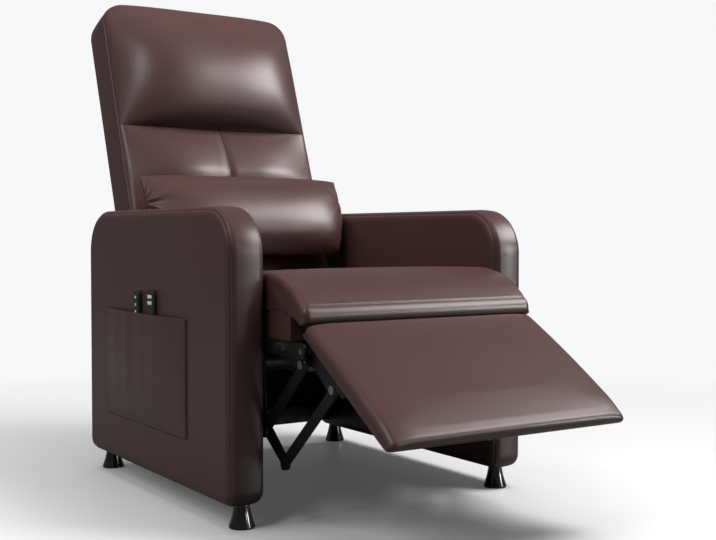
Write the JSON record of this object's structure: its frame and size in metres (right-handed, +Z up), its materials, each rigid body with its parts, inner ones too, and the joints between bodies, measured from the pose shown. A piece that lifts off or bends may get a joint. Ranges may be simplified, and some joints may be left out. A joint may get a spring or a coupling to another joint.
{
  "type": "power recliner",
  "caption": "Leather power recliner with padded arms, side pocket with handsets, tilting footrest on linkage and reclining back with a loose lumbar pillow.",
  "frame": {"origin": "on the floor, under the middle of the chair's outline with the footrest at rest", "axes": "+Z up, the chair faces -Y, +X to the sitter's left"},
  "size_m": [0.675, 1.2799, 1.0571],
  "materials": {
    "leather": "satin",
    "padding": "satin",
    "plywood": "matte",
    "hardboard": "matte",
    "webbing": "matte",
    "black_steel": "satin",
    "bright_steel": "satin",
    "motor_metal": "satin",
    "black_plastic": "satin",
    "foot_plastic": "gloss",
    "key_plastic": "matte"
  },
  "bodies": {
    "base": {"arm_pad_right": "padding", "arm_pad_left": "padding", "arm_core_right": "plywood", "arm_core_left": "plywood", "foot_front_right": "foot_plastic", "foot_rear_right": "foot_plastic", "foot_front_left": "foot_plastic", "foot_rear_left": "foot_plastic", "foot_studs": "bright_steel", "side_pocket": "leather", "seat_rail_right": "black_steel", "seat_rail_left": "black_steel", "link_leg_right": "black_steel", "link_leg_left": "black_steel", "front_brace_right": "black_steel", "front_brace_left": "black_steel", "frame_bolts": "bright_steel", "pivot_pins": "bright_steel", "seat_frame": "plywood", "seat_skin": "leather", "seat_webbing": "webbing", "seat_cushion": "padding", "motor_crossbar": "black_steel", "motor_pins": "bright_steel", "footrest_actuator": "black_plastic", "footrest_motor": "motor_metal", "back_actuator": "black_plastic", "back_motor": "motor_metal", "rear_stretcher": "black_steel", "rear_panel": "hardboard", "control_box": "black_plastic", "power_inlet": "black_plastic"},
    "footrest": {"footrest_pad": "padding", "footrest_board": "plywood", "footrest_lever": "black_steel", "footrest_bracket_right": "black_steel", "footrest_bracket_left": "black_steel"},
    "back": {"back_shell": "padding", "back_frame": "plywood", "mid_back_cushion": "padding", "head_bolster": "padding", "lumbar_pillow": "padding", "back_lever": "black_steel", "back_bracket_right": "black_steel", "back_bracket_left": "black_steel"},
    "footrest_rod": {"footrest_rod": "bright_steel"},
    "back_rod": {"back_rod": "bright_steel"},
    "recline_handset": {"recline_handset": "black_plastic"},
    "comfort_handset": {"comfort_handset": "black_plastic"},
    "crank_right": {"crank_right": "black_steel"},
    "push_bar_right": {"push_bar_right": "black_steel", "link_rivets_right": "bright_steel"},
    "crank_left": {"crank_left": "black_steel"},
    "push_bar_left": {"push_bar_left": "black_steel", "link_rivets_left": "bright_steel"},
    "recline_button_1": {"recline_button_1": "key_plastic"},
    "recline_button_2": {"recline_button_2": "key_plastic"},
    "recline_button_3": {"recline_button_3": "key_plastic"},
    "comfort_key_1": {"comfort_key_1": "key_plastic"},
    "comfort_key_2": {"comfort_key_2": "key_plastic"}
  },
  "joints": [
    {"name": "footrest_tilt", "type": "hinge", "parent": "base", "child": "footrest", "pos_m": [0, -0.3905, 0.32], "axis": [-1, 0, 0], "range_deg": [-56.5, 31.5]},
    {"name": "back_recline", "type": "hinge", "parent": "base", "child": "back", "pos_m": [0, 0.3355, 0.321], "axis": [-1, 0, 0], "range_deg": [-7, 30]},
    {"name": "footrest_rod_slide", "type": "slide", "parent": "base", "child": "footrest_rod", "axis": [0, -1, 0], "range_m": [-0.05361, 0.03011]},
    {"name": "back_rod_slide", "type": "slide", "parent": "base", "child": "back_rod", "axis": [0, 1, 0], "range_m": [-0.04184, 0.01015]},
    {"name": "crank_right_swing", "type": "hinge", "parent": "base", "child": "crank_right", "pos_m": [0, -0.2225, 0.17], "axis": [-1, 0, 0], "range_deg": [-57.5, 32.5]},
    {"name": "push_bar_right_swing", "type": "hinge", "parent": "crank_right", "child": "push_bar_right", "pos_m": [0, -0.29596, 0.11407], "axis": [-1, 0, 0], "range_deg": [-32.5, 57.5]},
    {"name": "crank_left_swing", "type": "hinge", "parent": "base", "child": "crank_left", "pos_m": [0, -0.2225, 0.17], "axis": [-1, 0, 0], "range_deg": [-57.5, 32.5]},
    {"name": "push_bar_left_swing", "type": "hinge", "parent": "crank_left", "child": "push_bar_left", "pos_m": [0, -0.29596, 0.11407], "axis": [-1, 0, 0], "range_deg": [-32.5, 57.5]},
    {"name": "recline_handset_lift", "type": "slide", "parent": "base", "child": "recline_handset", "axis": [0, 0, 1], "range_m": [0, 0.13]},
    {"name": "comfort_handset_lift", "type": "slide", "parent": "base", "child": "comfort_handset", "axis": [0, 0, 1], "range_m": [0, 0.11]},
    {"name": "recline_button_1_press", "type": "slide", "parent": "recline_handset", "child": "recline_button_1", "axis": [1, 0, 0], "range_m": [0, 0.001], "stiffness_N_per_m": 900, "springref_m": -0.0008},
    {"name": "recline_button_2_press", "type": "slide", "parent": "recline_handset", "child": "recline_button_2", "axis": [1, 0, 0], "range_m": [0, 0.001], "stiffness_N_per_m": 900, "springref_m": -0.0008},
    {"name": "recline_button_3_press", "type": "slide", "parent": "recline_handset", "child": "recline_button_3", "axis": [1, 0, 0], "range_m": [0, 0.001], "stiffness_N_per_m": 900, "springref_m": -0.0008},
    {"name": "comfort_key_1_press", "type": "slide", "parent": "comfort_handset", "child": "comfort_key_1", "axis": [1, 0, 0], "range_m": [0, 0.001], "stiffness_N_per_m": 900, "springref_m": -0.0008},
    {"name": "comfort_key_2_press", "type": "slide", "parent": "comfort_handset", "child": "comfort_key_2", "axis": [1, 0, 0], "range_m": [0, 0.001], "stiffness_N_per_m": 900, "springref_m": -0.0008}
  ],
  "couplings": [
    {"joint": "footrest_rod_slide", "follows": "footrest_tilt", "m_per_rad": 0.053853},
    {"joint": "back_rod_slide", "follows": "back_recline", "m_per_rad": -0.07896},
    {"joint": "crank_right_swing", "follows": "footrest_tilt", "ratio": 1},
    {"joint": "push_bar_right_swing", "follows": "footrest_tilt", "ratio": -1},
    {"joint": "crank_left_swing", "follows": "footrest_tilt", "ratio": 1},
    {"joint": "push_bar_left_swing", "follows": "footrest_tilt", "ratio": -1}
  ]
}
